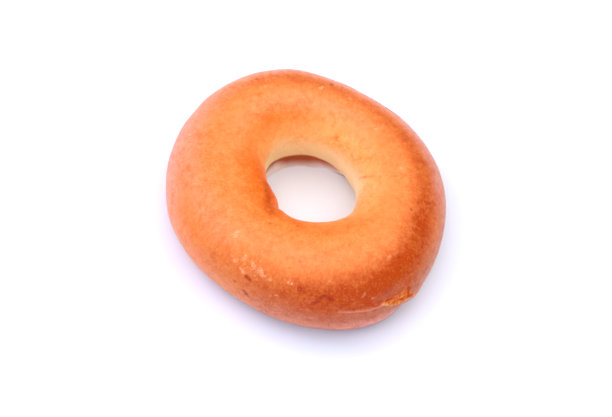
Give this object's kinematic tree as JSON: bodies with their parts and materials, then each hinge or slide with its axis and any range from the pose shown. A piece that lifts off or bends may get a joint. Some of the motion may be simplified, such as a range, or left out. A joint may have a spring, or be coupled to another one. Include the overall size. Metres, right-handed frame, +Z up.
{
  "type": "plain bagel",
  "caption": "Ring of boiled and baked dough with an off-centre hole, a flat underside, a lifted lap end on its outer side and a small pucker at the rim of the hole.",
  "frame": {"origin": "on the surface the bagel rests on, under the middle of its outline", "axes": "+Z up out of the flat underside; the lifted lap end lies towards +X and -Y"},
  "size_m": [0.1062, 0.1056, 0.0355],
  "materials": {
    "golden_crust": "satin"
  },
  "bodies": {
    "root": {"bagel": "golden_crust"}
  },
  "joints": []
}
